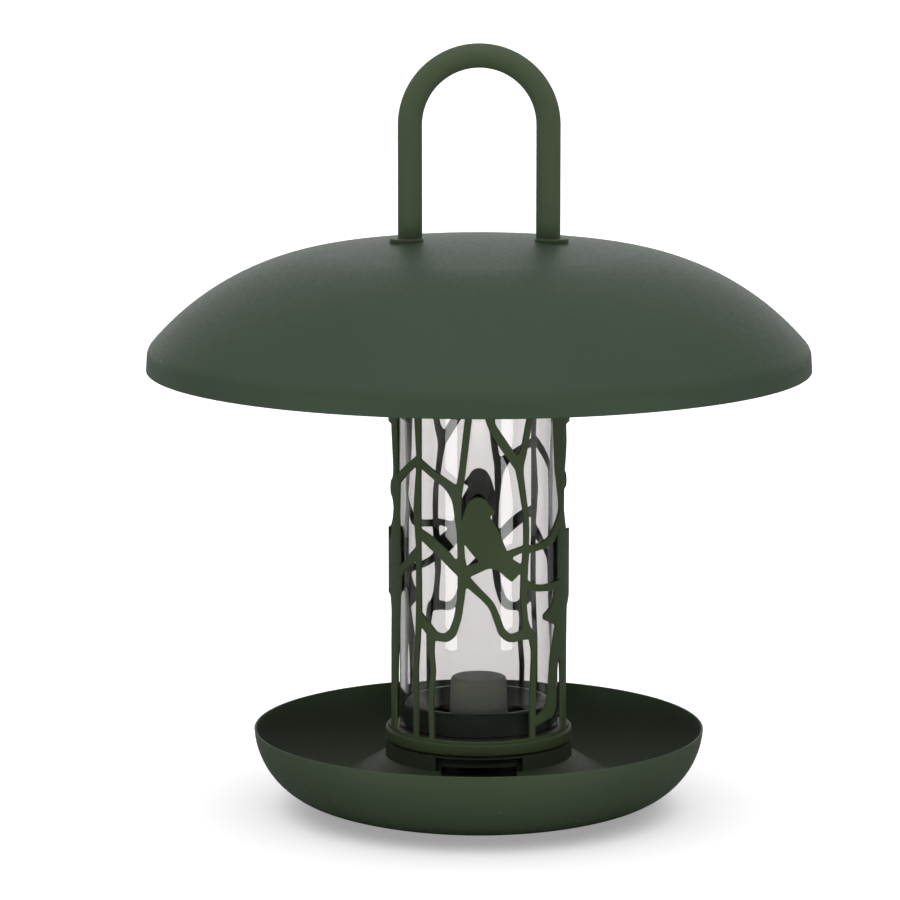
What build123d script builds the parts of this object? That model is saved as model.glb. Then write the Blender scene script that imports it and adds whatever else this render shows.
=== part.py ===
from build123d import *

import math
import os

# A hanging bird feeder: a seed bowl below, a clear tube in a cut-out steel sleeve, a round roof on top.
# Millimetres, +Z up, the origin at the middle of the bowl's flat foot. The front of the feeder is -Y.

# Bowl, pressed from sheet
BOWL_RIM_RADIUS = 102.4
BOWL_HEIGHT = 37.3
BOWL_FOOT_RADIUS = 46.0
BOWL_FLOOR_ARC = 96.0
BOWL_FLOOR_ANGLE = 20.0
BOWL_SHEET = 1.0
DIMPLE_RADIUS = 9.0
DIMPLE_DEPTH = 4.2

# Clear tube and the steel sleeve round it
TUBE_RADIUS = 36.0
TUBE_WALL = 2.0
SLEEVE_GAP = 3.8
SLEEVE_SHEET = 1.2
BAND_SHEET = 1.5
BAND_HEIGHT = 6.0
BAND_ROUND = 1.1
LATTICE_FOOT = 1.0
LATTICE_HEAD = 7.5

# Spreader cone and its two collars
FLANGE_HEIGHT = 24.7
FLANGE_LIP = 0.5
CONE_FOOT_RADIUS = 75.5
CONE_SHEET = 1.0
COLLAR_HEIGHT = 7.0
COLLAR_SHEET = 1.0
INNER_COLLAR_HEIGHT = 13.0
BEAD_LIFT = 4.5
BEAD_RADIUS = 0.7
PORT_COUNT = 2
PORT_WIDTH = 34.0
PORT_REACH = 14.0
PORT_WINDOW_WIDTH = 39.0
PORT_BRIDGE = 0.8
PORT_RISE = 1.8

# Twist lock between the base and the sleeve
STUD_COUNT = 3
STUD_DIAMETER = 3.0
STUD_HEIGHT = 35.2
STUD_FIRST_ANGLE = 30.0
TWIST_RANGE = 20.0

# Tube seat, gasket, seed plate and deflector
SEAT_FLANGE = 0.7
SEAT_PLUG_HEIGHT = 11.3
SEAT_PLUG_WALL = 2.7
SEAT_HOLE_RADIUS = 22.0
SEAT_THROAT_DROP = 6.0
SEAT_SPIGOT = 4.0
SEAT_CHAMFER = 0.8
GASKET_THICKNESS = 0.8
PLATE_HUB_HEIGHT = 27.7
PLATE_HUB_RADIUS = 14.0
PLATE_WALL = 1.5
PLATE_LAP = 2.0
DEFLECTOR_RADIUS = 12.6
DEFLECTOR_RISE = 10.9
DEFLECTOR_ROUND = 1.6
TUBE_GUIDE_HEIGHT = 8.0
TUBE_GUIDE_DROP = 14.0
TUBE_TOP_GAP = 2.0

# Centre bolt stack
BOLT_DIAMETER = 6.0
BOLT_HEAD_DIAMETER = 10.5
BOLT_HEAD_HEIGHT = 3.3
BOLT_REACH = 22.0
HEX_SOCKET = 4.0
HEX_SOCKET_DEPTH = 2.0
SEAL_RADIUS = 8.0
SEAL_THICKNESS = 1.5
SPACER_RADIUS = 6.0
PLATE_WASHER_RADIUS = 6.25
PLATE_WASHER_THICKNESS = 1.2
NUT_ACROSS_FLATS = 10.0
NUT_HEIGHT = 5.0

# Roof, pressed from sheet
ROOF_RADIUS = 150.0
ROOF_RIM_HEIGHT = 202.2
ROOF_RISE = 58.3
ROOF_SHEET = 1.0
CROWN_ARC = 520.0
CROWN_EDGE = 71.0
SKIRT_HEIGHT = 9.5
SKIRT_FLARE = 0.6
SHOULDER_ROUND = 8.0

# Collar under the roof with its leaf springs
ROOF_COLLAR_LAP = 20.0
ROOF_COLLAR_SHEET = 1.0
CLIP_ROOM = 2.2
CLIP_COUNT = 3
CLIP_DROP = 3.0
CLIP_WIDTH = 10.0
CLIP_LENGTH = 17.0
CLIP_FLAT = 7.0
CLIP_SHEET = 0.5
RIVET_DIAMETER = 3.0
RIVET_HEAD_DIAMETER = 5.5
RIVET_HEAD_HEIGHT = 1.2
RIVET_TAIL_HEIGHT = 0.5

# Handle and its fixings
HANDLE_DIAMETER = 11.0
HANDLE_WALL = 1.5
HANDLE_SPAN = 62.0
HANDLE_RISE = 88.1
FOOT_DIAMETER = 15.2
FOOT_LIP = 0.5
FOOT_LIFT = 1.3
FOOT_ROUND = 0.6
SCREW_DIAMETER = 6.0
SCREW_HEAD_DIAMETER = 10.5
SCREW_HEAD_HEIGHT = 3.3
SCREW_REACH = 14.0
SCREW_WASHER_DIAMETER = 15.0
SCREW_WASHER_EDGE = 1.5
INSERT_LENGTH = 18.0

# Clearances
SEAT_CLEARANCE = 0.05
LOOSE_CLEARANCE = 0.3
TWIST_CLEARANCE = 0.5
SHANK_CLEARANCE = 0.2

# Rounded edges and corners
EDGE_ROUND = 0.4
WINDOW_CORNER = 0.9
WINDOW_BEND = 14.0
ROUND_SHARE = 0.45

# Radii and heights that follow from those sizes
tube_bore = TUBE_RADIUS - TUBE_WALL
sleeve_bore = TUBE_RADIUS + SLEEVE_GAP
sleeve_radius = sleeve_bore + SLEEVE_SHEET
band_radius = sleeve_radius + BAND_SHEET
flange_radius = band_radius + FLANGE_LIP
inner_collar_radius = sleeve_bore - TWIST_CLEARANCE
inner_collar_bore = inner_collar_radius - COLLAR_SHEET
flange_bore = inner_collar_bore - FLANGE_LIP
collar_top = FLANGE_HEIGHT + COLLAR_HEIGHT
sleeve_bottom = collar_top + LOOSE_CLEARANCE
band_top = sleeve_bottom + BAND_HEIGHT
inner_collar_top = FLANGE_HEIGHT + INNER_COLLAR_HEIGHT
gasket_bottom = inner_collar_top + SEAT_FLANGE
tube_bottom = gasket_bottom + GASKET_THICKNESS
seat_top = gasket_bottom + SEAT_PLUG_HEIGHT
shank_radius = BOLT_DIAMETER / 2 + SHANK_CLEARANCE
roof_apex = ROOF_RIM_HEIGHT + ROOF_RISE
crown_centre = roof_apex - CROWN_ARC


def crown_top(radius):
    """Height of the roof's outer face at a radius on its flatter crown."""
    return crown_centre + math.sqrt(CROWN_ARC**2 - radius**2)


def crown_under(radius):
    """Height of the roof's under face at a radius on its flatter crown."""
    return crown_centre + math.sqrt((CROWN_ARC - ROOF_SHEET) ** 2 - radius**2)


sleeve_top = crown_under(sleeve_radius) - LOOSE_CLEARANCE
washer_under = crown_under(HANDLE_SPAN / 2 + SCREW_WASHER_DIAMETER / 2) - SCREW_WASHER_EDGE
screw_low = washer_under - SCREW_HEAD_HEIGHT
tube_top = screw_low - TUBE_TOP_GAP
lattice_low = band_top + LATTICE_FOOT
lattice_high = ROOF_RIM_HEIGHT - LATTICE_HEAD
foot_middle = HANDLE_SPAN / 2 - HANDLE_DIAMETER / 2 - FOOT_LIP + FOOT_DIAMETER / 2
foot_top = crown_top(foot_middle - FOOT_DIAMETER / 2) + FOOT_LIFT


def turned(*edges):
    """A solid of revolution from the edges of a closed outline in radius and height."""
    return revolve(Plane.XZ * make_face(list(edges)), Axis.Z)


def turned_outline(*points):
    """A solid of revolution from the corners of a straight-sided outline in radius and height."""
    return revolve(Plane.XZ * make_face(Polyline(*points, close=True)), Axis.Z)


def ring(outer, inner, low, high):
    """A straight ring round the axis."""
    return Pos(0, 0, low) * extrude(Circle(outer) - Circle(inner), high - low)


def bar(radius, low, high):
    """A straight round bar on the axis."""
    return Pos(0, 0, low) * extrude(Circle(radius), high - low)


def around(solid, count, first=0.0):
    """Copies of a solid at equal turns round the axis."""
    return [Rot(Z=first + turn * 360.0 / count) * solid for turn in range(count)]


def radial_bar(radius, near, far, height):
    """A round bar lying along a radius, towards +X."""
    return Pos(near, 0, height) * Rot(Y=90) * extrude(Circle(radius), far - near)


def socket_screw(diameter, head_diameter, head_height, head_low, tip):
    """A screw that stands head down on the axis, with a hexagon socket in its head."""
    head_top = head_low + head_height
    body = bar(head_diameter / 2, head_low, head_top) + bar(diameter / 2, head_top, tip)
    socket = RegularPolygon(HEX_SOCKET / 2, 6, major_radius=False)
    return body - Pos(0, 0, head_low) * extrude(socket, HEX_SOCKET_DEPTH)


# Bowl: a flat foot, a gently rising floor arc and a tighter side arc that ends at the rim
floor_turn = math.radians(BOWL_FLOOR_ANGLE)
floor_centre = Vector(BOWL_FOOT_RADIUS, BOWL_FLOOR_ARC)
floor_end_inward = Vector(-math.sin(floor_turn), math.cos(floor_turn))
floor_end = floor_centre - floor_end_inward * BOWL_FLOOR_ARC
rim_edge = Vector(BOWL_RIM_RADIUS, BOWL_HEIGHT)
to_rim = rim_edge - floor_end
side_arc = to_rim.dot(to_rim) / (2 * to_rim.dot(floor_end_inward))
side_centre = floor_end + floor_end_inward * side_arc
rim_inner = side_centre.X + math.sqrt((side_arc - BOWL_SHEET) ** 2 - (BOWL_HEIGHT - side_centre.Y) ** 2)


def arc_middle(centre, radius, start, end):
    """The middle point of the arc between two points, on the side away from the centre."""
    halfway = (start - centre).normalized() + (end - centre).normalized()
    return centre + halfway.normalized() * radius


def bowl_floor_top(radius):
    """Height of the bowl's upper face at a radius on its floor arc."""
    return BOWL_FLOOR_ARC - math.sqrt((BOWL_FLOOR_ARC - BOWL_SHEET) ** 2 - (radius - BOWL_FOOT_RADIUS) ** 2)


def make_bowl():
    foot = Vector(BOWL_FOOT_RADIUS, 0)
    foot_upper = Vector(BOWL_FOOT_RADIUS, BOWL_SHEET)
    floor_end_upper = floor_end + floor_end_inward * BOWL_SHEET
    rim_upper = Vector(rim_inner, BOWL_HEIGHT)
    dimple_wall = DIMPLE_RADIUS + DIMPLE_DEPTH
    slant = BOWL_SHEET * (math.sqrt(2) - 1)
    under = Polyline((0, DIMPLE_DEPTH), (DIMPLE_RADIUS, DIMPLE_DEPTH), (dimple_wall, 0), foot)
    upper = Polyline(
        foot_upper,
        (dimple_wall + slant, BOWL_SHEET),
        (DIMPLE_RADIUS + slant, DIMPLE_DEPTH + BOWL_SHEET),
        (0, DIMPLE_DEPTH + BOWL_SHEET),
        (0, DIMPLE_DEPTH),
    )
    shell = turned(
        under,
        ThreePointArc(foot, arc_middle(floor_centre, BOWL_FLOOR_ARC, foot, floor_end), floor_end),
        ThreePointArc(floor_end, arc_middle(side_centre, side_arc, floor_end, rim_edge), rim_edge),
        Line(rim_edge, rim_upper),
        ThreePointArc(
            rim_upper,
            arc_middle(side_centre, side_arc - BOWL_SHEET, rim_upper, floor_end_upper),
            floor_end_upper,
        ),
        ThreePointArc(
            floor_end_upper,
            arc_middle(floor_centre, BOWL_FLOOR_ARC - BOWL_SHEET, floor_end_upper, foot_upper),
            foot_upper,
        ),
        upper,
    )
    rim_edges = shell.edges().filter_by_position(Axis.Z, BOWL_HEIGHT, BOWL_HEIGHT)
    shell = fillet(rim_edges, min(EDGE_ROUND, ROUND_SHARE * BOWL_SHEET))
    return shell - bar(shank_radius, 0, DIMPLE_DEPTH + 2 * BOWL_SHEET)


# Spreader cone: a flat flange under the collars and a cone that stands on the bowl's floor
cone_foot = bowl_floor_top(CONE_FOOT_RADIUS) + SEAT_CLEARANCE
cone_slope = (FLANGE_HEIGHT - cone_foot) / (CONE_FOOT_RADIUS - flange_radius)
cone_drop = CONE_SHEET * math.sqrt(1 + cone_slope**2)
port_edge = flange_radius + PORT_REACH
plate_edge_radius = port_edge + PLATE_LAP


def cone_under(radius):
    """Height of the cone's under face at a radius."""
    return FLANGE_HEIGHT - cone_slope * (radius - flange_radius) - cone_drop


def make_spreader_cone():
    flange_under = FLANGE_HEIGHT - CONE_SHEET
    turn_radius = flange_radius + (cone_under(flange_radius) - flange_under) / cone_slope
    cone = turned_outline(
        (flange_bore, FLANGE_HEIGHT),
        (flange_radius, FLANGE_HEIGHT),
        (CONE_FOOT_RADIUS, cone_foot),
        (CONE_FOOT_RADIUS - cone_drop / cone_slope, cone_foot),
        (turn_radius, flange_under),
        (flange_bore, flange_under),
    )
    notch = Pos(0, -port_edge / 2, FLANGE_HEIGHT) * Box(PORT_WIDTH, port_edge, 2 * FLANGE_HEIGHT)
    return cone - around(notch, PORT_COUNT)


def make_base_collar():
    collar = ring(band_radius, band_radius - COLLAR_SHEET, FLANGE_HEIGHT, collar_top)
    opening_height = COLLAR_HEIGHT - PORT_BRIDGE
    from_axis = (Align.CENTER, Align.MAX, Align.MIN)
    opening = Box(PORT_WINDOW_WIDTH, 2 * band_radius, opening_height, align=from_axis)
    return collar - around(Pos(0, 0, FLANGE_HEIGHT) * opening, PORT_COUNT)


def stud_shapes(radius, near, far):
    bars = radial_bar(radius, near, far, STUD_HEIGHT)
    return around(Rot(Z=-90) * bars, STUD_COUNT, STUD_FIRST_ANGLE)


def make_inner_collar():
    collar = ring(inner_collar_radius, inner_collar_bore, FLANGE_HEIGHT, inner_collar_top)
    bead = Torus(inner_collar_radius, min(BEAD_RADIUS, ROUND_SHARE * 2 * COLLAR_SHEET))
    collar += Pos(0, 0, FLANGE_HEIGHT + BEAD_LIFT) * bead
    from_axis = (Align.CENTER, Align.MAX, Align.CENTER)
    notch = Pos(0, 0, FLANGE_HEIGHT) * Box(PORT_WIDTH, 2 * band_radius, 2 * PORT_RISE, align=from_axis)
    collar -= around(notch, PORT_COUNT)
    return collar - stud_shapes(STUD_DIAMETER / 2 + SEAT_CLEARANCE, 0, band_radius)


def make_bayonet_studs():
    reach = sleeve_radius - LOOSE_CLEARANCE
    return Compound(children=stud_shapes(STUD_DIAMETER / 2, inner_collar_bore, reach))


def make_tube_seat():
    spigot_radius = inner_collar_bore - LOOSE_CLEARANCE
    plug_radius = tube_bore - LOOSE_CLEARANCE
    return turned_outline(
        (SEAT_HOLE_RADIUS, inner_collar_top - SEAT_SPIGOT),
        (spigot_radius, inner_collar_top - SEAT_SPIGOT),
        (spigot_radius, inner_collar_top),
        (inner_collar_radius - LOOSE_CLEARANCE, inner_collar_top),
        (inner_collar_radius - LOOSE_CLEARANCE, gasket_bottom),
        (plug_radius, gasket_bottom),
        (plug_radius, seat_top - SEAT_CHAMFER),
        (plug_radius - SEAT_CHAMFER, seat_top),
        (plug_radius - SEAT_PLUG_WALL, seat_top),
        (SEAT_HOLE_RADIUS, seat_top - SEAT_THROAT_DROP),
    )


def make_seed_plate():
    edge_height = cone_under(plate_edge_radius) - SEAT_CLEARANCE
    hub_under = PLATE_HUB_HEIGHT - PLATE_WALL
    return turned_outline(
        (shank_radius, hub_under),
        (PLATE_HUB_RADIUS, hub_under),
        (plate_edge_radius, edge_height - PLATE_WALL),
        (plate_edge_radius, edge_height),
        (PLATE_HUB_RADIUS, PLATE_HUB_HEIGHT),
        (shank_radius, PLATE_HUB_HEIGHT),
    )


# Centre stack, from the bowl's dimple upward
seal_low = DIMPLE_DEPTH + BOWL_SHEET
spacer_low = seal_low + SEAL_THICKNESS
washer_top = PLATE_HUB_HEIGHT + PLATE_WASHER_THICKNESS
nut_top = washer_top + NUT_HEIGHT
bolt_tip = PLATE_HUB_HEIGHT + BOLT_REACH
deflector_top = seat_top + DEFLECTOR_RISE


def make_seed_deflector():
    cup = turned_outline(
        (0, PLATE_HUB_HEIGHT),
        (PLATE_HUB_RADIUS, PLATE_HUB_HEIGHT),
        (DEFLECTOR_RADIUS, deflector_top),
        (0, deflector_top),
    )
    cup = fillet(cup.edges().filter_by_position(Axis.Z, deflector_top, deflector_top), DEFLECTOR_ROUND)
    nut_radius = max(NUT_ACROSS_FLATS / math.sqrt(3), PLATE_WASHER_RADIUS) + LOOSE_CLEARANCE
    nut_room = bar(nut_radius, PLATE_HUB_HEIGHT, nut_top + LOOSE_CLEARANCE)
    thread = bar(BOLT_DIAMETER / 2 + SEAT_CLEARANCE, PLATE_HUB_HEIGHT, bolt_tip + LOOSE_CLEARANCE)
    return cup - nut_room - thread


def make_centre_nut():
    hexagon = RegularPolygon(NUT_ACROSS_FLATS / 2, 6, major_radius=False)
    hole = Circle(BOLT_DIAMETER / 2 + SEAT_CLEARANCE)
    return Pos(0, 0, washer_top) * extrude(hexagon - hole, NUT_HEIGHT)


# Lattice drawing: each list is one cut-out, as degrees round the sleeve from the front, positive to the
# right, and heights on a drawing that is stretched to fit between the band and the roof. A point marked
# CORNER is crisp, and any other point is a soft bend. The same cut-outs are repeated half a turn round.
CORNER = "corner"

LATTICE = [
    # between the outer and the left stem, over the left fork
    [(-67.5, 196, CORNER), (-68, 178), (-66.3, 164), (-65.5, 157.4, CORNER), (-43.4, 168.4, CORNER),
     (-46.2, 196, CORNER)],
    # between the left and the middle stem, over the fork
    [(-40, 196, CORNER), (-40, 167, CORNER), (-14.6, 156.6, CORNER), (-13.2, 162), (-9.3, 186),
     (-7.8, 196, CORNER)],
    # under the left fork
    [(-61.5, 154.4, CORNER), (-62.6, 140), (-62.4, 126), (-61.5, 116.2, CORNER), (-57, 118.4),
     (-43.8, 127.4, CORNER), (-46, 144), (-43.4, 164.2, CORNER)],
    # under the right arm of the fork
    [(-40.2, 163.4, CORNER), (-22, 155.2), (-17.3, 150), (-15.5, 142), (-14.2, 135), (-13.7, 122, CORNER),
     (-21.6, 128.2), (-30.7, 132.8), (-40.2, 135.8, CORNER)],
    # between the middle stem, the front bird's head and the right stem
    [(-3.2, 196, CORNER), (-4.8, 186), (-9.2, 160), (-11, 153), (-11.3, 147), (-11.6, 139.6, CORNER),
     (-10.2, 143), (-8.8, 146.4), (-6, 149.8), (-2.4, 151.4), (1.6, 151.3), (4.7, 150), (6.6, 147.6),
     (10.6, 144.4, CORNER), (6.4, 143, CORNER), (9, 140), (12.5, 135.6), (15.2, 131), (17.6, 126.9, CORNER),
     (29.4, 129, CORNER), (29.3, 135), (28.9, 143.6), (27.1, 150.5), (25.2, 158), (23.4, 163.3, CORNER),
     (13.2, 173.3), (6.4, 180.7), (3.6, 186), (1.8, 196, CORNER)],
    # the narrow triangle over the right branch
    [(6.4, 196, CORNER), (8.3, 187), (11, 183), (17, 176.6), (24.2, 169.4, CORNER), (27.4, 172.5),
     (31.5, 186), (34.4, 196, CORNER)],
    # between the right stem and the trunk, down to the perch
    [(38.4, 196, CORNER), (35.2, 185), (30.9, 170), (28.5, 164), (29.4, 158), (31, 150), (32.6, 143),
     (33.1, 135), (32.8, 128.6, CORNER), (42.9, 129.3), (50.3, 131), (55.5, 134.6), (60.9, 139.6),
     (63.6, 143.2, CORNER), (61.6, 149.5), (57.8, 160.5), (55.6, 180), (55.2, 196, CORNER)],
    # under the front bird's breast
    [(-9.7, 130.8, CORNER), (-9.2, 124.5), (-8.1, 120.4, CORNER), (0.8, 122.5, CORNER), (-3.4, 125),
     (-7.2, 128.4)],
    # over the front bird's tail
    [(20, 123.9, CORNER), (28.8, 126, CORNER), (28.1, 120.2, CORNER)],
    # under the front bird's tail
    [(-6.2, 115.6, CORNER), (6.5, 119.9), (13, 117.9), (20.7, 112.9, CORNER), (27.5, 117.3, CORNER),
     (26.9, 106), (28.4, 96), (28.6, 90.8, CORNER), (20.8, 89.1), (16.1, 91.7), (13.2, 97.5), (9.3, 104.3),
     (2, 109.4)],
    # the loop between the left and the middle stem
    [(-40.2, 131.2, CORNER), (-30, 126.1), (-25, 123.4), (-16.9, 118), (-13.6, 115.8, CORNER),
     (-13.8, 107.5), (-15.9, 97.6), (-18.9, 91.6), (-23, 89.3), (-28, 89.8), (-32.4, 93.3),
     (-39.6, 97.8, CORNER)],
    # the left lower field
    [(-43.6, 121.4, CORNER), (-57, 114.6), (-60.5, 111.8, CORNER), (-62.6, 96), (-63.5, 86), (-66.5, 73),
     (-67.8, 60), (-68, 41, CORNER), (-46, 41, CORNER), (-46, 74), (-44.4, 88), (-43.8, 100)],
    # the middle lower field
    [(-8.4, 111.3, CORNER), (-9.4, 105.5), (-11.5, 96), (-15, 88.6), (-19.8, 85.7), (-29.4, 85.9, CORNER),
     (-30, 81), (-28.8, 72), (-30.2, 61), (-29.8, 41, CORNER), (34.2, 41, CORNER), (34.2, 61), (35.2, 74.5),
     (35.4, 81), (33.6, 86.2, CORNER), (27.4, 86.2), (19.4, 85.3), (12.7, 88.6), (9.6, 94.9), (6.2, 101.7),
     (0, 106.2)],
    # the slit beside the left stem
    [(-40.4, 92, CORNER), (-34.6, 88.1, CORNER), (-33.6, 82), (-32.1, 72), (-33.7, 61), (-33, 41, CORNER),
     (-42.4, 41, CORNER), (-42.4, 73), (-41, 84)],
    # right of the right stem, round the side bird's tail
    [(31.6, 109.2, CORNER), (31, 104), (32.4, 95), (34.4, 91.3), (37.4, 89.8), (39.1, 85.5), (38.8, 74.5),
     (38.6, 61), (38.4, 50.4, CORNER), (43, 51.6), (48.8, 55), (50.9, 64), (52.8, 77.5), (58.6, 90.2, CORNER),
     (45.8, 94, CORNER), (45.6, 96.2, CORNER), (53.4, 99.4), (58.2, 106.3, CORNER), (39, 107.3)],
    # under the link's foot and up the gap beside it
    [(38.2, 41, CORNER), (38.2, 46.2, CORNER), (47.4, 47.8), (54.4, 48.8), (57.8, 51.4), (58.6, 57),
     (58.9, 64), (60.2, 70.5), (62, 76.4, CORNER), (65.6, 70), (66.4, 60), (66.4, 41, CORNER)],
    # between the perch and the lower branch
    [(33.1, 125.4, CORNER), (42.9, 126.1), (51.3, 127), (55.8, 128.8), (58.4, 131.2), (62, 135, CORNER),
     (62.8, 125), (62.6, 110.4, CORNER), (52, 110), (42.9, 110.1), (35.4, 111.4), (31.9, 113.4, CORNER),
     (32.4, 120)],
    # over the side bird, past the knot on the next stem
    [(73, 180, CORNER), (74.4, 172.7), (73, 166), (70.4, 159), (69.4, 150), (69.2, 141), (71.8, 134),
     (76.5, 130.4, CORNER), (83, 130.2), (88, 131.2), (93.6, 129.7), (98.2, 126), (103, 127.6, CORNER),
     (106.8, 134), (110.2, 142.6), (107.6, 146.6), (103, 148.4), (102.4, 151.4), (104, 154), (108, 155.6),
     (109.6, 160), (107, 172), (105, 180, CORNER)],
    # under the side bird
    [(75.2, 41, CORNER), (75.2, 80), (76.4, 96.6, CORNER), (84, 100.3), (92, 101.2), (99.6, 105, CORNER),
     (105.2, 97), (104.4, 80), (104.2, 60), (104.2, 41, CORNER)],
]
drawn_heights = [point[1] for outline in LATTICE for point in outline]
drawn_low = min(drawn_heights)
drawn_high = max(drawn_heights)


def corner_radius(before, point, after, crisp):
    """The radius of one corner: small where crisp, otherwise as large as its two sides leave room for."""
    arriving = point - before
    leaving = after - point
    turn = math.radians(arriving.get_angle(leaving))
    room = ROUND_SHARE * min(arriving.length, leaving.length) / math.tan(turn / 2)
    return min(WINDOW_CORNER if crisp else WINDOW_BEND, room)


def lattice_window(points):
    """One cut-out of the lattice as a prism through the sheet."""
    angles = [math.radians(point[0]) for point in points]
    middle = (min(angles) + max(angles)) / 2
    half_width = max(angles) - middle
    stretch = (lattice_high - lattice_low) / (drawn_high - drawn_low)
    heights = [lattice_low + stretch * (point[1] - drawn_low) for point in points]
    flat = [Vector(sleeve_radius * math.sin(a - middle), h) for a, h in zip(angles, heights)]
    following = flat[1:] + flat[:1]
    radii = [
        corner_radius(before, point, after, CORNER in drawn)
        for before, point, after, drawn in zip(flat[-1:] + flat, flat, following, points)
    ]
    outline = FilletPolyline(*flat, radius=radii, close=True)
    start = sleeve_bore * math.cos(half_width) - SLEEVE_SHEET
    prism = Pos(0, 0, start) * extrude(make_face(outline), sleeve_radius + SLEEVE_SHEET - start)
    facing_front = Plane.XZ * prism
    return Rot(Z=math.degrees(middle)) * facing_front


def bayonet_slot():
    """The L-shaped slot of the twist lock: a level leg for the turn and an upright leg to the lower edge."""
    half = STUD_DIAMETER / 2 + LOOSE_CLEARANCE
    half_angle = math.degrees(math.asin(half / sleeve_bore))
    depth = 4 * SLEEVE_SHEET
    below_stud = 2 * (STUD_HEIGHT - sleeve_bottom)
    level = Pos(sleeve_radius, STUD_HEIGHT) * Rectangle(depth, 2 * half)
    upright = Pos(sleeve_radius, STUD_HEIGHT - below_stud / 2) * Rectangle(depth, below_stud + 2 * half)
    turning = revolve(Plane.XZ * level, Axis.Z, TWIST_RANGE + 2 * half_angle)
    opening = revolve(Plane.XZ * upright, Axis.Z, 2 * half_angle)
    return Rot(Z=-TWIST_RANGE - half_angle) * (turning + opening)


def make_lattice_sleeve():
    sleeve = ring(sleeve_radius, sleeve_bore, sleeve_bottom, sleeve_top)
    half_windows = [lattice_window(points) for points in LATTICE]
    windows = half_windows + [Rot(Z=180) * window for window in half_windows]
    slots = around(Rot(Z=-90) * bayonet_slot(), STUD_COUNT, STUD_FIRST_ANGLE)
    return sleeve - windows - slots


def make_bottom_band():
    band = ring(band_radius, sleeve_radius + SEAT_CLEARANCE, sleeve_bottom, band_top)
    outer_edges = band.edges().filter_by(GeomType.CIRCLE).group_by(SortBy.RADIUS)[-1]
    return fillet(outer_edges, min(BAND_ROUND, BAND_SHEET - EDGE_ROUND, ROUND_SHARE * BAND_HEIGHT))


# Roof: a flat crown arc, a rounder flank arc tangent to it and a slightly flared skirt
crown_turn = math.asin(CROWN_EDGE / CROWN_ARC)
crown_outward = Vector(math.sin(crown_turn), math.cos(crown_turn))
crown_end = Vector(0, crown_centre) + crown_outward * CROWN_ARC
shoulder = Vector(ROOF_RADIUS - SKIRT_FLARE, ROOF_RIM_HEIGHT + SKIRT_HEIGHT)
to_shoulder = shoulder - crown_end
flank_arc = -to_shoulder.dot(to_shoulder) / (2 * to_shoulder.dot(crown_outward))
flank_centre = crown_end - crown_outward * flank_arc


def roof_solid(inset):
    """The roof filled solid, with its outer face moved inward by the inset."""
    crown = CROWN_ARC - inset
    flank = flank_arc - inset
    apex = Vector(0, crown_centre + crown)
    break_point = crown_end - crown_outward * inset
    edge_radius = shoulder.X - inset
    edge = Vector(edge_radius, flank_centre.Y + math.sqrt(flank**2 - (edge_radius - flank_centre.X) ** 2))
    rim = Vector(ROOF_RADIUS - inset, ROOF_RIM_HEIGHT)
    section = make_face([
        ThreePointArc(apex, arc_middle(Vector(0, crown_centre), crown, apex, break_point), break_point),
        ThreePointArc(break_point, arc_middle(flank_centre, flank, break_point, edge), edge),
        Polyline(edge, rim, (0, ROOF_RIM_HEIGHT), apex),
    ])
    corner = section.vertices().sort_by_distance(Vertex(edge.X, edge.Y, 0))[0]
    return revolve(Plane.XZ * fillet(corner, SHOULDER_ROUND - inset), Axis.Z)


def at_both_feet(solid):
    """A solid made on the axis, copied to the two legs of the handle."""
    return [Pos(side * HANDLE_SPAN / 2, 0, 0) * solid for side in (-1, 1)]


screw_hole = bar(SCREW_DIAMETER / 2 + SHANK_CLEARANCE, ROOF_RIM_HEIGHT, roof_apex + FOOT_DIAMETER)


def make_roof_dome(outside, inside):
    shell = outside - inside
    rim_edges = shell.edges().filter_by_position(Axis.Z, ROOF_RIM_HEIGHT, ROOF_RIM_HEIGHT)
    shell = fillet(rim_edges, min(EDGE_ROUND, ROUND_SHARE * ROOF_SHEET))
    return shell - at_both_feet(screw_hole)


def make_handle_bow():
    tube = Circle(HANDLE_DIAMETER / 2) - Circle(HANDLE_DIAMETER / 2 - HANDLE_WALL)
    bend_radius = HANDLE_SPAN / 2
    bend_height = roof_apex + HANDLE_RISE - HANDLE_DIAMETER / 2 - bend_radius
    legs = at_both_feet(Pos(0, 0, foot_top) * extrude(tube, bend_height - foot_top))
    bend_axis = Axis((0, 0, bend_height), (0, -1, 0))
    bend = revolve(Pos(bend_radius, 0, bend_height) * tube, bend_axis, 180)
    return legs[0] + bend + legs[1]


def make_handle_feet(outside):
    washer = bar(FOOT_DIAMETER / 2, ROOF_RIM_HEIGHT + SKIRT_HEIGHT, foot_top)
    upper_edge = washer.edges().filter_by_position(Axis.Z, foot_top, foot_top)
    washer = Pos(foot_middle, 0, 0) * fillet(upper_edge, min(FOOT_ROUND, ROUND_SHARE * FOOT_LIFT))
    foot = (washer - Pos(HANDLE_SPAN / 2, 0, 0) * screw_hole - outside).solid()
    return Compound(children=[foot, Rot(Z=180) * foot])


def make_screw_washers(inside):
    washer = bar(SCREW_WASHER_DIAMETER / 2, washer_under, roof_apex) - screw_hole
    return Compound(children=[(side & inside).solid() for side in at_both_feet(washer)])


def make_handle_inserts():
    insert = ring(
        HANDLE_DIAMETER / 2 - HANDLE_WALL - SEAT_CLEARANCE,
        SCREW_DIAMETER / 2 + SEAT_CLEARANCE,
        foot_top,
        foot_top + INSERT_LENGTH,
    )
    return Compound(children=at_both_feet(insert))


def make_handle_screws():
    screw = socket_screw(
        SCREW_DIAMETER,
        SCREW_HEAD_DIAMETER,
        SCREW_HEAD_HEIGHT,
        screw_low,
        foot_top + SCREW_REACH,
    )
    return Compound(children=at_both_feet(screw))


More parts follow.
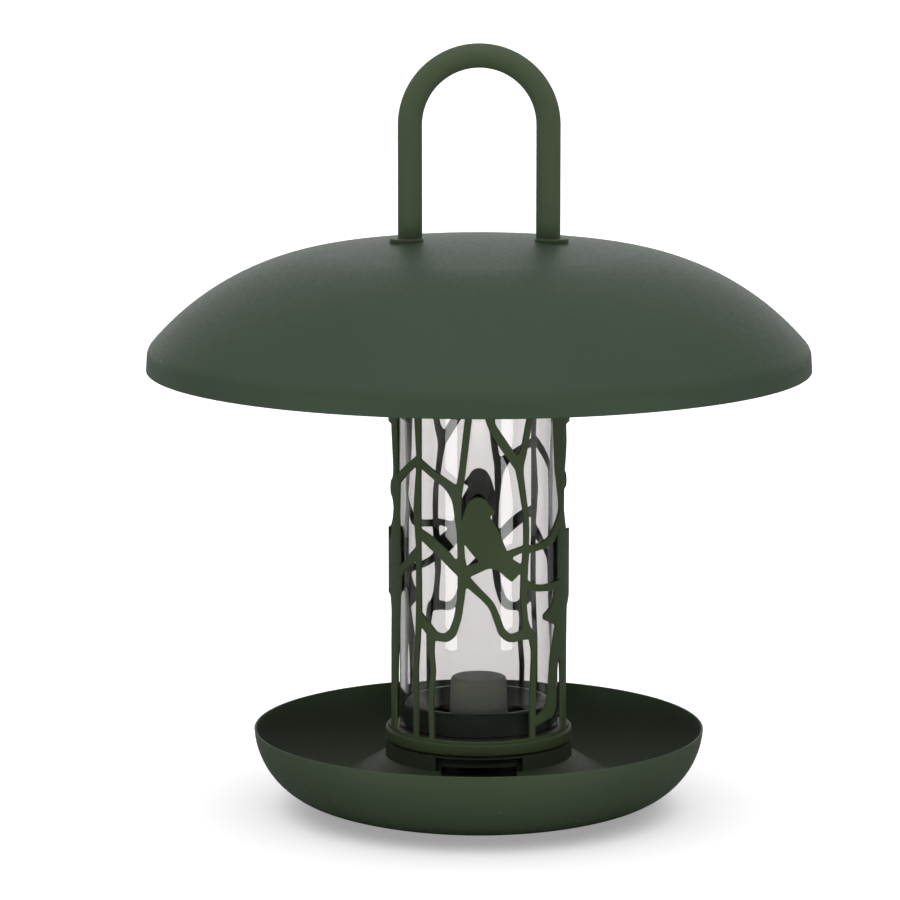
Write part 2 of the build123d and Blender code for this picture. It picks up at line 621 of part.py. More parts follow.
# Collar under the roof: it slips over the sleeve, and bowed leaf springs inside it grip the sleeve
roof_collar_bore = sleeve_radius + CLIP_ROOM
roof_collar_radius = roof_collar_bore + ROOF_COLLAR_SHEET
roof_collar_top = crown_under(roof_collar_radius)
clip_back = math.sqrt(roof_collar_bore**2 - (CLIP_WIDTH / 2) ** 2) - SEAT_CLEARANCE
clip_top = sleeve_top - CLIP_DROP
rivet_height = clip_top - CLIP_FLAT / 2
rivet_hole = radial_bar(RIVET_DIAMETER / 2 + SEAT_CLEARANCE, 0, 2 * roof_collar_radius, rivet_height)


def make_roof_collar():
    collar = ring(roof_collar_radius, roof_collar_bore, sleeve_top - ROOF_COLLAR_LAP, roof_collar_top)
    return collar - around(rivet_hole, CLIP_COUNT)


def make_roof_clips():
    clip_bottom = clip_top - CLIP_LENGTH
    nose_height = (clip_top - CLIP_FLAT + clip_bottom) / 2
    nose = sleeve_radius + LOOSE_CLEARANCE
    tail = clip_back - CLIP_SHEET
    front = [(tail, clip_top), (tail, clip_top - CLIP_FLAT), (nose, nose_height), (tail, clip_bottom)]
    back = [(radius + CLIP_SHEET, height) for radius, height in reversed(front)]
    strip = extrude(Plane.XZ * make_face(Polyline(*front, *back, close=True)), CLIP_WIDTH / 2, both=True)
    return Compound(children=around(strip - rivet_hole, CLIP_COUNT))


def make_clip_rivets():
    tail_face = clip_back - CLIP_SHEET
    shank = radial_bar(RIVET_DIAMETER / 2, tail_face, roof_collar_radius, rivet_height)
    head = radial_bar(
        RIVET_HEAD_DIAMETER / 2, roof_collar_radius, roof_collar_radius + RIVET_HEAD_HEIGHT, rivet_height
    )
    tail = radial_bar(
        RIVET_DIAMETER / 2 + RIVET_TAIL_HEIGHT, tail_face - RIVET_TAIL_HEIGHT, tail_face, rivet_height
    )
    return Compound(children=around(shank + head + tail, CLIP_COUNT))


roof_outside = roof_solid(0)
roof_inside = roof_solid(ROOF_SHEET)
bolt_head_low = DIMPLE_DEPTH - BOLT_HEAD_HEIGHT
guide_top = sleeve_top - TUBE_GUIDE_DROP

nodes = {
    "bowl": make_bowl(),
    "spreader_cone": make_spreader_cone(),
    "base_collar": make_base_collar(),
    "inner_collar": make_inner_collar(),
    "bayonet_studs": make_bayonet_studs(),
    "tube_seat": make_tube_seat(),
    "tube_gasket": ring(TUBE_RADIUS, tube_bore, gasket_bottom, tube_bottom),
    "seed_tube": ring(TUBE_RADIUS, tube_bore, tube_bottom, tube_top),
    "seed_plate": make_seed_plate(),
    "seed_deflector": make_seed_deflector(),
    "centre_bolt": socket_screw(BOLT_DIAMETER, BOLT_HEAD_DIAMETER, BOLT_HEAD_HEIGHT, bolt_head_low, bolt_tip),
    "seal_washer": ring(SEAL_RADIUS, shank_radius, seal_low, spacer_low),
    "centre_spacer": ring(SPACER_RADIUS, shank_radius, spacer_low, PLATE_HUB_HEIGHT - PLATE_WALL),
    "plate_washer": ring(PLATE_WASHER_RADIUS, shank_radius, PLATE_HUB_HEIGHT, washer_top),
    "centre_nut": make_centre_nut(),
    "lattice_sleeve": make_lattice_sleeve(),
    "bottom_band": make_bottom_band(),
    "tube_guide": ring(
        sleeve_bore - SEAT_CLEARANCE, TUBE_RADIUS + LOOSE_CLEARANCE, guide_top - TUBE_GUIDE_HEIGHT, guide_top
    ),
    "roof_dome": make_roof_dome(roof_outside, roof_inside),
    "handle_bow": make_handle_bow(),
    "handle_feet": make_handle_feet(roof_outside),
    "handle_inserts": make_handle_inserts(),
    "handle_screws": make_handle_screws(),
    "screw_washers": make_screw_washers(roof_inside),
    "roof_collar": make_roof_collar(),
    "roof_clips": make_roof_clips(),
    "clip_rivets": make_clip_rivets(),
}

os.makedirs("parts", exist_ok=True)
for name, solid in nodes.items():
    export_step(solid, f"parts/{name}.step")
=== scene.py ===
import math

import bpy
import numpy as np
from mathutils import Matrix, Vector


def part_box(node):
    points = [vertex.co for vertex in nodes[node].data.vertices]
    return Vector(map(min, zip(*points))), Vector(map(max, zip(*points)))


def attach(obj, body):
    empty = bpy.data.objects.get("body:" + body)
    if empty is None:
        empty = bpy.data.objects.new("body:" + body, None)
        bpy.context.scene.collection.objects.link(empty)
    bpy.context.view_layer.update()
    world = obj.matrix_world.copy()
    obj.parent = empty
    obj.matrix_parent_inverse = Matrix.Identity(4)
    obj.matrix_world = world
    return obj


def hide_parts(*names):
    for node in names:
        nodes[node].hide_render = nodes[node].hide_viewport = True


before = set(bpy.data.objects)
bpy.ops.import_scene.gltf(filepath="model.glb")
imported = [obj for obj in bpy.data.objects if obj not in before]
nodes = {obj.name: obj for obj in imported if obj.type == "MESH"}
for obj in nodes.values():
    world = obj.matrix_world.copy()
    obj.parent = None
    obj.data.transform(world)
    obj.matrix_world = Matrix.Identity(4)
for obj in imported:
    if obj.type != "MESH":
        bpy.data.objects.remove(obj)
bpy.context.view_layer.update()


# Bowl: one round tray pressed from 1 mm steel sheet, with a flat foot and a bolt dimple in its middle.
# It is powder-coated dark green as every steel sheet piece of the feeder is: a satin skin with a fine
# peel, a slight drift of the tint and a few specks of dust that were baked in.
def new_group(name, inputs, outputs):
    """An empty shader node group with named sockets: {input: (socket type, default)}, {output: type}."""
    group = bpy.data.node_groups.new(name, "ShaderNodeTree")
    for label, (kind, default) in inputs.items():
        socket = group.interface.new_socket(label, in_out="INPUT", socket_type=kind)
        socket.default_value = default
    for label, kind in outputs.items():
        group.interface.new_socket(label, in_out="OUTPUT", socket_type=kind)
    given = group.nodes.new("NodeGroupInput").outputs
    made = group.nodes.new("NodeGroupOutput").inputs
    return group, given, made


def feed(tree, socket, value):
    """A value set on a socket, or another node's output linked to it."""
    if isinstance(value, bpy.types.NodeSocket):
        tree.links.new(value, socket)
    else:
        socket.default_value = value


def surface_place(tree, stretch=(1.0, 1.0, 1.0)):
    """The point of the surface in the feeder's own frame, with its axes stretched."""
    mapping = tree.nodes.new("ShaderNodeMapping")
    feed(tree, mapping.inputs["Vector"], tree.nodes.new("ShaderNodeTexCoord").outputs["Object"])
    feed(tree, mapping.inputs["Scale"], stretch)
    return mapping.outputs["Vector"]


def noise(tree, place, grains, detail=2.0):
    """Fractal noise with so many grains a metre, from 0 to 1 round a middle of about one half."""
    node = tree.nodes.new("ShaderNodeTexNoise")
    feed(tree, node.inputs["Vector"], place)
    feed(tree, node.inputs["Scale"], grains)
    feed(tree, node.inputs["Detail"], detail)
    return node.outputs["Fac"]


def ramp(tree, value, low, high, to_low=0.0, to_high=1.0):
    """A value stretched in a straight line from one range to another, and kept inside it."""
    node = tree.nodes.new("ShaderNodeMapRange")
    feed(tree, node.inputs["Value"], value)
    feed(tree, node.inputs["From Min"], low)
    feed(tree, node.inputs["From Max"], high)
    feed(tree, node.inputs["To Min"], to_low)
    feed(tree, node.inputs["To Max"], to_high)
    return node.outputs["Result"]


def blend_colour(tree, share, first, second):
    """Two colours mixed by a share from 0 to 1."""
    node = tree.nodes.new("ShaderNodeMix")
    node.data_type = "RGBA"
    feed(tree, node.inputs["Factor"], share)
    feed(tree, node.inputs["A"], first)
    feed(tree, node.inputs["B"], second)
    return node.outputs["Result"]


def reckon(tree, operation, first, second):
    """One arithmetic step on two values."""
    node = tree.nodes.new("ShaderNodeMath")
    node.operation = operation
    feed(tree, node.inputs[0], first)
    feed(tree, node.inputs[1], second)
    return node.outputs["Value"]


def specks(tree, place, spacing, low, high):
    """A mask of round dots: cells of that spacing in metres, each with a dot of radius low to high of it."""
    cells = tree.nodes.new("ShaderNodeTexVoronoi")
    feed(tree, cells.inputs["Vector"], place)
    feed(tree, cells.inputs["Scale"], 1.0 / spacing)
    return ramp(tree, cells.outputs["Distance"], high, low)


PEEL_GRAINS = 620.0
FINE_GRAINS = 2600.0
DRIFT_GRAINS = 14.0
PATCH_GRAINS = 31.0
SPECK_SPACING = 0.012
SPECK_CORE = 0.025
SPECK_EDGE = 0.045
COAT_PEEL_DEPTH = 0.00003

coat_skin, given, made = new_group(
    "coat_skin",
    {
        "Paint": ("NodeSocketColor", (0.03, 0.05, 0.03, 1)),
        "Thin paint": ("NodeSocketColor", (0.05, 0.07, 0.05, 1)),
        "Dust": ("NodeSocketColor", (0.3, 0.29, 0.25, 1)),
        "Gloss": ("NodeSocketFloat", 0.5),
        "Dustiness": ("NodeSocketFloat", 0.0),
    },
    {"Color": "NodeSocketColor", "Roughness": "NodeSocketFloat", "Height": "NodeSocketFloat"},
)
place = surface_place(coat_skin)
peel = noise(coat_skin, place, PEEL_GRAINS)
grain = noise(coat_skin, place, FINE_GRAINS, 1.0)
drift = noise(coat_skin, place, DRIFT_GRAINS, 3.0)
dots = specks(coat_skin, place, SPECK_SPACING, SPECK_CORE, SPECK_EDGE)
few = ramp(coat_skin, noise(coat_skin, place, PATCH_GRAINS, 0.0), 0.62, 0.66)
dust = reckon(coat_skin, "MULTIPLY", reckon(coat_skin, "MULTIPLY", dots, few), given["Dustiness"])
tint = reckon(
    coat_skin, "ADD",
    ramp(coat_skin, drift, 0.3, 0.7, 0.0, 0.7),
    ramp(coat_skin, grain, 0.35, 0.65, 0.0, 0.3),
)
painted = blend_colour(coat_skin, tint, given["Paint"], given["Thin paint"])
uneven = ramp(coat_skin, peel, 0.3, 0.7, -0.05, 0.05)
feed(coat_skin, made["Color"], blend_colour(coat_skin, dust, painted, given["Dust"]))
feed(coat_skin, made["Roughness"], reckon(coat_skin, "ADD", given["Gloss"], uneven))
rough_peel = reckon(coat_skin, "ADD", peel, reckon(coat_skin, "MULTIPLY", grain, 0.35))
feed(coat_skin, made["Height"], rough_peel)


def new_material(name):
    """A material, its node tree and the inputs of its Principled shader."""
    material = bpy.data.materials.new(name)
    material.use_nodes = True
    return material, material.node_tree, material.node_tree.nodes["Principled BSDF"].inputs


def wear_skin(tree, shader, group, depth, **values):
    """A surface group placed in a material with its own values, its height a bump of that depth."""
    node = tree.nodes.new("ShaderNodeGroup")
    node.node_tree = group
    for label, value in values.items():
        feed(tree, node.inputs[label.replace("_", " ")], value)
    bump = tree.nodes.new("ShaderNodeBump")
    feed(tree, bump.inputs["Distance"], depth)
    feed(tree, bump.inputs["Height"], node.outputs["Height"])
    feed(tree, shader["Base Color"], node.outputs["Color"])
    feed(tree, shader["Roughness"], node.outputs["Roughness"])
    feed(tree, shader["Normal"], bump.outputs["Normal"])


def green_coat(name, paint, thin_paint, gloss, shine, dustiness):
    """Satin dark green powder coat on steel sheet."""
    material, tree, shader = new_material(name)
    wear_skin(tree, shader, coat_skin, COAT_PEEL_DEPTH,
              Paint=paint, Thin_paint=thin_paint, Gloss=gloss, Dustiness=dustiness)
    feed(tree, shader["Specular IOR Level"], shine)
    return material


def finish_node(name, material):
    """A CAD piece keeps its shape and takes a material."""
    nodes[name].data.materials.clear()
    nodes[name].data.materials.append(material)


bowl_coat = green_coat(
    "bowl_coat", (0.039, 0.058, 0.031, 1), (0.044, 0.064, 0.035, 1), gloss=0.55, shine=0.18, dustiness=0.3
)
finish_node("bowl", bowl_coat)


# Spreader cone with its two collars: rolled and pressed steel, welded together and coated in one piece.
# The cone stands on the bowl's floor under the tube, and seed runs out through its notches.
# Painted shade: the same green coat with its paint set darker than the bowl's, for the shade low in the bowl
# under the band.
shaded_base_coat = green_coat(
    "shaded_base_coat", (0.031, 0.046, 0.025, 1), (0.035, 0.051, 0.028, 1), gloss=0.55, shine=0.18, dustiness=0.15
)
for name in ("spreader_cone", "base_collar", "inner_collar"):
    finish_node(name, shaded_base_coat)


# Bayonet studs: three turned pins pressed through the inner collar, zinc-plated and left bright.
# The same plating is on every screw, nut, washer and spring of the feeder.
SPANGLE_GRAINS = 1400.0
STAIN_GRAINS = 130.0
PLATING_DEPTH = 0.000004

plated_skin, given, made = new_group(
    "plated_skin",
    {
        "Zinc": ("NodeSocketColor", (0.6, 0.61, 0.62, 1)),
        "Tarnish": ("NodeSocketColor", (0.42, 0.42, 0.4, 1)),
        "Gloss": ("NodeSocketFloat", 0.3),
    },
    {"Color": "NodeSocketColor", "Roughness": "NodeSocketFloat", "Height": "NodeSocketFloat"},
)
place = surface_place(plated_skin)
spangle = noise(plated_skin, place, SPANGLE_GRAINS, 3.0)
stain = ramp(plated_skin, noise(plated_skin, place, STAIN_GRAINS, 4.0), 0.42, 0.68)
feed(plated_skin, made["Color"], blend_colour(plated_skin, stain, given["Zinc"], given["Tarnish"]))
dulled = reckon(plated_skin, "ADD", given["Gloss"], ramp(plated_skin, stain, 0.0, 1.0, 0.0, 0.16))
feed(plated_skin, made["Roughness"], dulled)
feed(plated_skin, made["Height"], spangle)


def zinc_plate(name, zinc, tarnish, gloss):
    """Zinc-plated steel with a slight uneven dulling."""
    material, tree, shader = new_material(name)
    wear_skin(tree, shader, plated_skin, PLATING_DEPTH, Zinc=zinc, Tarnish=tarnish, Gloss=gloss)
    feed(tree, shader["Metallic"], 1.0)
    return material


stud_zinc = zinc_plate("stud_zinc", (0.60, 0.61, 0.63, 1), (0.44, 0.43, 0.41, 1), gloss=0.30)
finish_node("bayonet_studs", stud_zinc)


# Tube seat: a black plastic plug, injection moulded, pushed into the inner collar. The clear tube slips
# over it and rests on a soft black rubber ring.
TEXTURE_GRAINS = 1900.0
CLOUD_GRAINS = 70.0
PLASTIC_TEXTURE_DEPTH = 0.00001
RUBBER_TEXTURE_DEPTH = 0.00002

moulded_skin, given, made = new_group(
    "moulded_skin",
    {
        "Plastic": ("NodeSocketColor", (0.02, 0.02, 0.02, 1)),
        "Bloom": ("NodeSocketColor", (0.06, 0.06, 0.06, 1)),
        "Gloss": ("NodeSocketFloat", 0.4),
    },
    {"Color": "NodeSocketColor", "Roughness": "NodeSocketFloat", "Height": "NodeSocketFloat"},
)
place = surface_place(moulded_skin)
texture = noise(moulded_skin, place, TEXTURE_GRAINS)
cloud = noise(moulded_skin, place, CLOUD_GRAINS, 4.0)
bloom = ramp(moulded_skin, cloud, 0.45, 0.8)
feed(moulded_skin, made["Color"], blend_colour(moulded_skin, bloom, given["Plastic"], given["Bloom"]))
dulled = reckon(moulded_skin, "ADD", given["Gloss"], ramp(moulded_skin, cloud, 0.3, 0.7, -0.05, 0.07))
feed(moulded_skin, made["Roughness"], dulled)
feed(moulded_skin, made["Height"], texture)


def moulding(name, plastic, bloom, gloss, depth, shine):
    """Moulded plastic or rubber with a fine texture and a faint cloudy bloom."""
    material, tree, shader = new_material(name)
    wear_skin(tree, shader, moulded_skin, depth, Plastic=plastic, Bloom=bloom, Gloss=gloss)
    feed(tree, shader["Specular IOR Level"], shine)
    return material


black_plastic = moulding(
    "black_plastic", (0.046, 0.059, 0.045, 1), (0.056, 0.068, 0.054, 1),
    gloss=0.42, depth=PLASTIC_TEXTURE_DEPTH, shine=0.3,
)
black_rubber = moulding(
    "black_rubber", (0.012, 0.012, 0.012, 1), (0.030, 0.030, 0.029, 1),
    gloss=0.75, depth=RUBBER_TEXTURE_DEPTH, shine=0.25,
)
finish_node("tube_seat", black_plastic)
finish_node("tube_gasket", black_rubber)


# Seed tube: clear acrylic tube, extruded and cut square. It is smooth, with hardly visible drawing
# lines along its length, fine dust and a slight lilac cast.
LINE_GRAINS = 420.0
LINE_STRETCH = (1.0, 1.0, 0.015)
HAZE_GRAINS = 36.0
SMOOTHEST = 0.002
ROUGHEST = 0.008
ACRYLIC_IOR = 1.49

clear_skin, given, made = new_group(
    "clear_skin",
    {
        "Clear": ("NodeSocketColor", (0.95, 0.95, 0.95, 1)),
        "Hazy": ("NodeSocketColor", (0.9, 0.9, 0.9, 1)),
    },
    {"Color": "NodeSocketColor", "Roughness": "NodeSocketFloat"},
)
lines = noise(clear_skin, surface_place(clear_skin, LINE_STRETCH), LINE_GRAINS, 1.0)
haze = noise(clear_skin, surface_place(clear_skin), HAZE_GRAINS, 4.0)
cast = ramp(clear_skin, reckon(clear_skin, "ADD", lines, haze), 0.7, 1.3)
feed(clear_skin, made["Color"], blend_colour(clear_skin, cast, given["Clear"], given["Hazy"]))
feed(clear_skin, made["Roughness"], ramp(clear_skin, haze, 0.35, 0.7, SMOOTHEST, ROUGHEST))

clear_acrylic, tree, shader = new_material("clear_acrylic")
sheen = tree.nodes.new("ShaderNodeGroup")
sheen.node_tree = clear_skin
feed(tree, sheen.inputs["Clear"], (0.825, 0.808, 0.806, 1))
feed(tree, sheen.inputs["Hazy"], (0.805, 0.788, 0.783, 1))
feed(tree, shader["Base Color"], sheen.outputs["Color"])
feed(tree, shader["Roughness"], sheen.outputs["Roughness"])
feed(tree, shader["Transmission Weight"], 1.0)
feed(tree, shader["IOR"], ACRYLIC_IOR)
finish_node("seed_tube", clear_acrylic)


# Seed plate and deflector: two mouldings in the tube's foot. The black plate is a shallow cone that leads
# seed to the ports, and the grey cup over its middle hides the nut.
grey_plastic = moulding(
    "grey_plastic", (0.260, 0.290, 0.233, 1), (0.315, 0.342, 0.288, 1),
    gloss=0.55, depth=PLASTIC_TEXTURE_DEPTH, shine=0.45,
)
# Painted shade: a darker copy of the black plastic, for the shade on the plate inside the tube's foot.
shaded_plate_plastic = moulding(
    "shaded_plate_plastic", (0.011, 0.013, 0.011, 1), (0.017, 0.019, 0.016, 1),
    gloss=0.5, depth=PLASTIC_TEXTURE_DEPTH, shine=0.2,
)
finish_node("seed_plate", shaded_plate_plastic)
finish_node("seed_deflector", grey_plastic)


# Centre stack: a zinc-plated socket bolt up through the bowl's dimple, with a rubber seal, a spacer, a
# washer and a nut, which clamps the bowl, the cone and the seed plate together.
stack_zinc = zinc_plate("stack_zinc", (0.58, 0.59, 0.61, 1), (0.40, 0.40, 0.38, 1), gloss=0.34)
for name in ("centre_bolt", "centre_spacer", "plate_washer", "centre_nut"):
    finish_node(name, stack_zinc)
finish_node("seal_washer", black_rubber)


# Lattice sleeve: steel sheet cut out flat as stems, branches and birds, then rolled to a tube and coated.
# Rolling turns the cut edges towards the axis, so each bar shows a thin dark edge of the sheet.
SLEEVE_SHEET = 0.0012
SMOOTH_TURN = math.cos(math.radians(40.0))
FACING_SHARE = 0.7
WALL_SLACK = 0.00005
POINT_DIGITS = 6


def outer_skin(mesh, radius):
    """Points and triangles of a mesh's faces that lie on the cylinder of that radius round the axis.
    Points at the same place are joined. A face counts if its corners lie that far from the axis and its
    normal points away from the axis."""
    mesh.calc_loop_triangles()
    points = np.empty(3 * len(mesh.vertices), np.float32)
    mesh.vertices.foreach_get("co", points)
    corners = np.empty(3 * len(mesh.loop_triangles), np.int32)
    mesh.loop_triangles.foreach_get("vertices", corners)
    points, joined = np.unique(points.reshape(-1, 3).round(POINT_DIGITS), axis=0, return_inverse=True)
    triangles = joined.reshape(-1)[corners].reshape(-1, 3)
    first, second, third = points[triangles].transpose(1, 0, 2)
    normals = np.cross(second - first, third - first)
    least = FACING_SHARE * radius * np.linalg.norm(normals, axis=1)
    outward = (normals * first * (1, 1, 0)).sum(1) > least
    on_wall = np.hypot(points[:, 0], points[:, 1]) > radius - WALL_SLACK
    skin = triangles[outward & on_wall[triangles].all(1)]
    used, skin = np.unique(skin, return_inverse=True)
    return points[used], skin.reshape(-1, 3)


def unit(vectors):
    """Each vector divided by its own length."""
    return vectors / np.linalg.norm(vectors, axis=1, keepdims=True)


def rolled_sheet(name, outer, skin, sheet):
    """A sheet with a given outer face on a cylinder: the inner face is the same points moved towards the
    axis by the sheet, and a wall along every free edge joins the two, square to the cylinder. A wall's
    normal is square to its edge and to the radius, and is shared with the next wall at a gentle turn."""
    count = len(outer)
    radial = unit(outer * (1, 1, 0))
    inner = outer - radial * sheet
    start = skin.reshape(-1)
    end = np.roll(skin, -1, axis=1).reshape(-1)
    free = ~np.isin(start * count + end, end * count + start)
    start, end = start[free], end[free]
    walls = np.stack([end, start, start + count, end + count], axis=1)
    faces = skin.tolist() + (skin[:, ::-1] + count).tolist() + walls.tolist()
    mesh = bpy.data.meshes.new(name)
    mesh.from_pydata(np.concatenate([outer, inner]).tolist(), [], faces)
    mesh.shade_smooth()

    along = unit(outer[end] - outer[start])
    facing = unit(np.cross(along, radial[start] + radial[end]))
    edge_from = np.zeros(count, int)
    edge_from[start] = np.arange(len(start))
    following = edge_from[end]
    gentle = (facing * facing[following]).sum(1, keepdims=True) > SMOOTH_TURN
    at_end = np.where(gentle, unit(facing + facing[following]), facing)
    at_start = facing.copy()
    at_start[following] = np.where(gentle, at_end, facing[following])
    wall_normals = np.stack([at_end, at_start, at_start, at_end], axis=1)
    mesh.normals_split_custom_set(np.concatenate([
        radial[skin].reshape(-1, 3),
        -radial[skin[:, ::-1]].reshape(-1, 3),
        wall_normals.reshape(-1, 3),
    ]).tolist())
    return mesh


def add_piece(mesh, material, body, replaced):
    """A new piece at the origin, riding on a body in place of a CAD node."""
    piece = bpy.data.objects.new(mesh.name, mesh)
    bpy.context.scene.collection.objects.link(piece)
    mesh.materials.append(material)
    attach(piece, body)
    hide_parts(replaced)
    return piece


# Painted light: the same green coat with its paint set lighter and yellower than the bowl's, for the front
# light on the bars and birds.
lit_sleeve_coat = green_coat(
    "lit_sleeve_coat", (0.044, 0.063, 0.028, 1), (0.049, 0.069, 0.032, 1), gloss=0.55, shine=0.12, dustiness=0.15
)
sleeve_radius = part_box("lattice_sleeve")[1].x
outer, skin = outer_skin(nodes["lattice_sleeve"].data, sleeve_radius)
add_piece(rolled_sheet("bird_lattice", outer, skin, SLEEVE_SHEET), lit_sleeve_coat, "cage",
          "lattice_sleeve")


# Bottom band and tube guide: a steel ring round the sleeve's foot, coated with it, and a black moulded
# ring inside its top that keeps the tube in the middle.
# Painted light: the band takes the sleeve's lighter copy of the coat.
finish_node("bottom_band", lit_sleeve_coat)
finish_node("tube_guide", black_plastic)


# Roof: a dome pressed from 1 mm steel sheet with a short skirt, coated the same green. The top faces the
# weather, so it has more specks of dust than the rest.
roof_coat = green_coat(
    "roof_coat", (0.031, 0.053, 0.030, 1), (0.036, 0.059, 0.034, 1), gloss=0.52, shine=0.25, dustiness=1.0
)
finish_node("roof_dome", roof_coat)


# Roof collar: a steel ring welded under the dome. Three bowed leaf springs, riveted inside it, grip the
# sleeve and hold the roof on.
spring_zinc = zinc_plate("spring_zinc", (0.55, 0.56, 0.58, 1), (0.40, 0.40, 0.39, 1), gloss=0.26)
finish_node("roof_collar", roof_coat)
finish_node("roof_clips", spring_zinc)
finish_node("clip_rivets", spring_zinc)


# Handle: a bent steel tube with a threaded plug in each end, coated green. It stands on two round washers
# with a softened upper edge, and is screwed from under the dome through bevelled washers.
# Painted light: the same green coat with its paint set lighter than the bowl's, for the light and sheen on
# the handle's legs.
lit_handle_coat = green_coat(
    "lit_handle_coat", (0.054, 0.077, 0.040, 1), (0.060, 0.084, 0.044, 1), gloss=0.52, shine=0.28, dustiness=0.4
)
finish_node("handle_bow", lit_handle_coat)
finish_node("handle_feet", lit_handle_coat)
screw_zinc = zinc_plate("screw_zinc", (0.60, 0.61, 0.63, 1), (0.42, 0.42, 0.40, 1), gloss=0.32)
for name in ("handle_inserts", "handle_screws", "screw_washers"):
    finish_node(name, screw_zinc)


# Studio floor: a pale matt sheet under the feeder, which keeps its shadow. A faint glow that only the camera
# sees lifts it to white. It throws less light back up than it shows, and the feeder mirrors it as grey,
# darkest on the camera's side.
FLOOR_HALF = 9.0
FLOOR_GLOW = 0.3
FLOOR_PALE = (0.93, 0.93, 0.93, 1)
FLOOR_BOUNCE = (0.5, 0.5, 0.5, 1)
FLOOR_MIRRORED = (0.4, 0.4, 0.4, 1)
FLOOR_AHEAD = (0.12, 0.12, 0.12, 1)
FLOOR_ROUGHNESS = 0.9
AHEAD_FROM = -0.35
AHEAD_FULL = -0.65

floor_mesh = bpy.data.meshes.new("floor")
corners = [(-FLOOR_HALF, -FLOOR_HALF, 0), (FLOOR_HALF, -FLOOR_HALF, 0),
           (FLOOR_HALF, FLOOR_HALF, 0), (-FLOOR_HALF, FLOOR_HALF, 0)]
floor_mesh.from_pydata(corners, [], [(0, 1, 2, 3)])
floor = bpy.data.objects.new("floor", floor_mesh)
bpy.context.scene.collection.objects.link(floor)
floor_paint, tree, shader = new_material("floor_paint")
path = tree.nodes.new("ShaderNodeLightPath").outputs
heading = tree.nodes.new("ShaderNodeVectorMath")
heading.operation = "NORMALIZE"
feed(tree, heading.inputs[0], tree.nodes.new("ShaderNodeTexCoord").outputs["Object"])
spot = tree.nodes.new("ShaderNodeSeparateXYZ")
feed(tree, spot.inputs["Vector"], heading.outputs["Vector"])
mirrored = ramp(tree, path["Glossy Depth"], 0.0, 1.0)
ahead = reckon(tree, "MULTIPLY", mirrored, ramp(tree, spot.outputs["Y"], AHEAD_FROM, AHEAD_FULL))
pale = blend_colour(tree, path["Is Diffuse Ray"], FLOOR_PALE, FLOOR_BOUNCE)
greyed = blend_colour(tree, mirrored, pale, FLOOR_MIRRORED)
feed(tree, shader["Base Color"], blend_colour(tree, ahead, greyed, FLOOR_AHEAD))
feed(tree, shader["Roughness"], FLOOR_ROUGHNESS)
feed(tree, shader["Specular IOR Level"], 0.0)
feed(tree, shader["Emission Color"], (1, 1, 1, 1))
feed(tree, shader["Emission Strength"], reckon(tree, "MULTIPLY", path["Is Camera Ray"], FLOOR_GLOW))
floor_mesh.materials.append(floor_paint)


# Studio room: a wide white ceiling that lights the feeder from above. The feeder mirrors walls that are dark
# on the camera's side, brighter at the sides and white behind. The camera, and what it sees through the
# clear tube, gets plain white.
CEILING_LIGHT = 1.95
WALL_LIGHT = 0.08
LIGHT_FROM = 0.35
LIGHT_FULL = 0.87
CEILING_SHINE = 0.6
SHINE_FROM = 0.2
SHINE_FULL = 0.6
FRONT_SHINE = 0.12
SIDE_SHINE = 0.5
BACK_SHINE = 1.0
BACK_FROM = 0.7
BACK_FULL = 0.95

world = bpy.data.worlds.new("studio")
bpy.context.scene.world = world
world.use_nodes = True
tree = world.node_tree
path = tree.nodes.new("ShaderNodeLightPath").outputs
look = tree.nodes.new("ShaderNodeSeparateXYZ")
feed(tree, look.inputs["Vector"], tree.nodes.new("ShaderNodeTexCoord").outputs["Generated"])
overhead = ramp(tree, look.outputs["Z"], LIGHT_FROM, LIGHT_FULL, WALL_LIGHT, CEILING_LIGHT)
lit = reckon(tree, "MULTIPLY", path["Is Diffuse Ray"], overhead)
sides = ramp(tree, look.outputs["Y"], AHEAD_FULL, AHEAD_FROM, FRONT_SHINE, SIDE_SHINE)
behind = ramp(tree, look.outputs["Y"], BACK_FROM, BACK_FULL, 0.0, BACK_SHINE)
wall = reckon(tree, "ADD", sides, behind)
shine = ramp(tree, look.outputs["Z"], SHINE_FROM, SHINE_FULL, wall, CEILING_SHINE)
mirrored = ramp(tree, path["Glossy Depth"], 0.0, 1.0)
through = reckon(tree, "SUBTRACT", path["Is Transmission Ray"], mirrored)
white = reckon(tree, "MAXIMUM", path["Is Camera Ray"], through)
mirrored_room = reckon(tree, "MULTIPLY", mirrored, shine)
gleam = reckon(tree, "MULTIPLY", path["Is Glossy Ray"], mirrored_room)
seen = reckon(tree, "MAXIMUM", white, gleam)
background = tree.nodes["Background"].inputs
feed(tree, background["Color"], (1, 1, 1, 1))
feed(tree, background["Strength"], reckon(tree, "ADD", lit, seen))


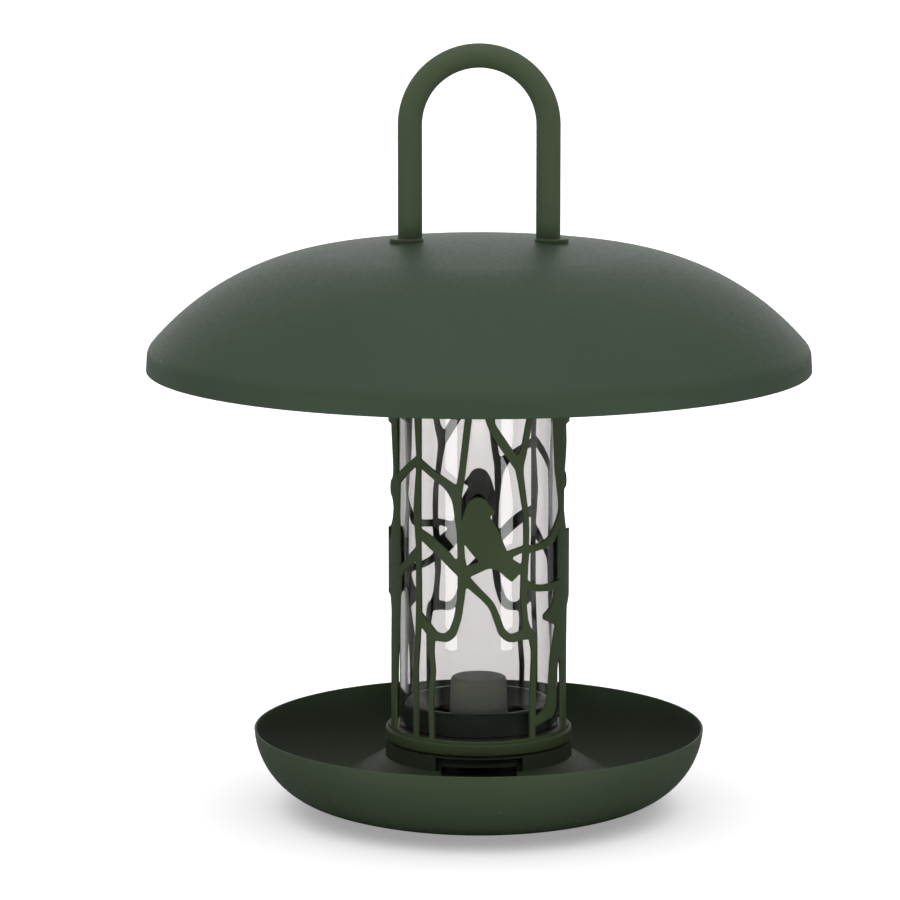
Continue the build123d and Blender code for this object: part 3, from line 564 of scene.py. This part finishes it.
# Soft boxes: a wide low one in front, which lights the feeder and is mirrored nowhere, and two small strips
# at the front left and front right, which only show as the two bright bands in the clear tube.
def soft_box(name, place, aim, width, height, power, spread):
    """A soft box that faces a point, seen neither by the camera nor through the clear tube."""
    lamp = bpy.data.lights.new(name, "AREA")
    lamp.shape = "RECTANGLE"
    lamp.size = width
    lamp.size_y = height
    lamp.energy = power
    lamp.spread = spread
    box = bpy.data.objects.new(name, lamp)
    bpy.context.scene.collection.objects.link(box)
    box.location = place
    box.rotation_euler = (Vector(aim) - Vector(place)).to_track_quat("-Z", "Y").to_euler()
    box.visible_camera = False
    box.visible_transmission = False
    return box


BOX_LIFT = 0.005

FRONT_REACH = 1.2
FRONT_WIDTH = 0.4
FRONT_HEIGHT = 0.12
FRONT_POWER = 6.5
FRONT_SPREAD = math.pi
low = FRONT_HEIGHT / 2 + BOX_LIFT
front_box = soft_box(
    "front_box", (0, -FRONT_REACH, low), (0, 0, low), FRONT_WIDTH, FRONT_HEIGHT, FRONT_POWER, FRONT_SPREAD
)
front_box.visible_glossy = False

STRIP_TURN = math.radians(39.0)
STRIP_REACH = 0.39
STRIP_WIDTH = 0.12
STRIP_HEIGHT = 0.16
STRIP_POWER = 0.056
STRIP_SPREAD = math.radians(60.0)
low = STRIP_HEIGHT / 2 + BOX_LIFT
for side, name in ((-1, "left_strip"), (1, "right_strip")):
    across = side * STRIP_REACH * math.sin(STRIP_TURN)
    forward = -STRIP_REACH * math.cos(STRIP_TURN)
    strip = soft_box(
        name, (across, forward, low), (0, 0, low), STRIP_WIDTH, STRIP_HEIGHT, STRIP_POWER, STRIP_SPREAD
    )
    strip.visible_diffuse = False


# Camera: a long lens in front of the feeder and a little above it, level from side to side. The picture is
# 900 pixels square, and the feeder's axis stands a little to the right of its middle.
PICTURE_PX = 900
SENSOR_WIDTH = 36.0
FOCAL_PX = 4620.0
PITCH = math.radians(9.28)
DISTANCE = 2.09
AIM_HEIGHT = 0.16475
AXIS_RIGHT_PX = 28.9

camera = bpy.data.objects.new("camera", bpy.data.cameras.new("camera"))
bpy.context.scene.collection.objects.link(camera)
camera.data.sensor_width = SENSOR_WIDTH
camera.data.lens = FOCAL_PX / PICTURE_PX * SENSOR_WIDTH
aside = AXIS_RIGHT_PX * DISTANCE / FOCAL_PX
camera.location = (-aside, -DISTANCE * math.cos(PITCH), AIM_HEIGHT + DISTANCE * math.sin(PITCH))
camera.rotation_euler = (math.pi / 2 - PITCH, 0, 0)
bpy.context.scene.camera = camera
bpy.context.scene.view_settings.view_transform = "Standard"
